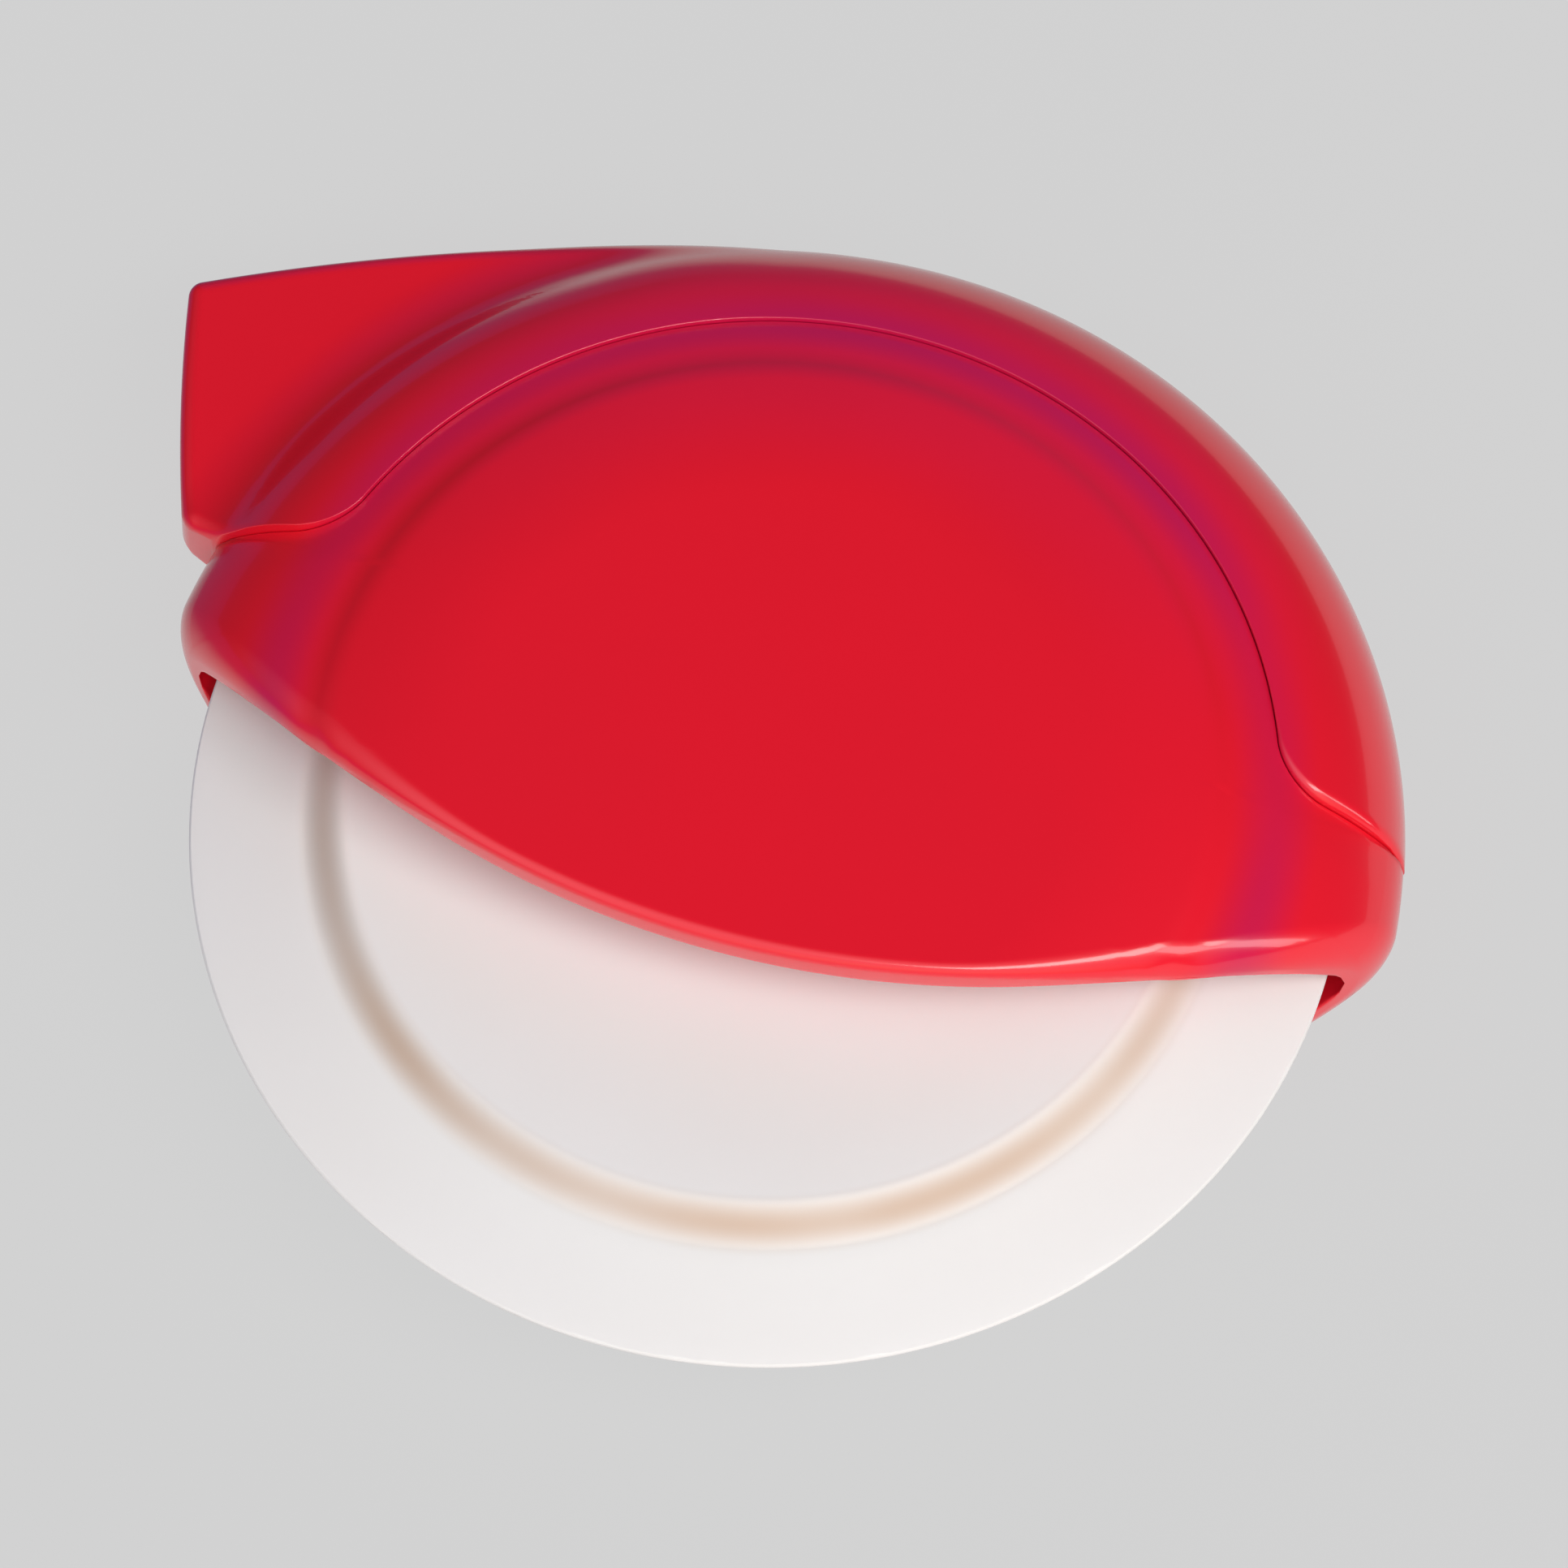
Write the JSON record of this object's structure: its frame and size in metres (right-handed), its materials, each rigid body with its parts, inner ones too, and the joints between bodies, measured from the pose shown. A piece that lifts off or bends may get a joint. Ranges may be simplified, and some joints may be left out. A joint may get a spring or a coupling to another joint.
{
  "type": "palm rolling cutter",
  "caption": "Palm-held rolling cutter: white plastic wheel with a raised disc, half hidden in a domed red hood with a tail fin.",
  "frame": {"origin": "on the flat of the back dome, which is the resting plane, on the wheel's axis", "axes": "+Z along the wheel's axis and out of the front dome, +Y towards the top of the hood, -Y towards the bare half of the wheel; the tail fin is at -X"},
  "size_m": [0.1179, 0.1051, 0.03],
  "materials": {
    "red_shell": "high-gloss moulded ABS",
    "red_saddle": "high-gloss moulded ABS, same red",
    "white_nylon": "satin white nylon",
    "bearing_acetal": "natural acetal",
    "stainless": "turned stainless steel",
    "insert_brass": "turned brass"
  },
  "bodies": {
    "hood": {"front_shell": "red_shell", "back_shell": "red_shell", "grip_saddle": "red_saddle", "screw_cap": "red_saddle", "axle_sleeve": "stainless", "axle_screw": "stainless", "spring_washer": "stainless", "threaded_insert": "insert_brass", "front_thrust_washer": "bearing_acetal", "back_thrust_washer": "bearing_acetal"},
    "wheel": {"cutting_wheel": "white_nylon", "wheel_back_disc": "white_nylon", "hub_bush": "bearing_acetal"}
  },
  "joints": [
    {"name": "wheel_spin", "type": "hinge", "parent": "hood", "child": "wheel", "pos_m": [0, 0, 0.015], "axis": [0, 0, 1], "continuous": true}
  ]
}
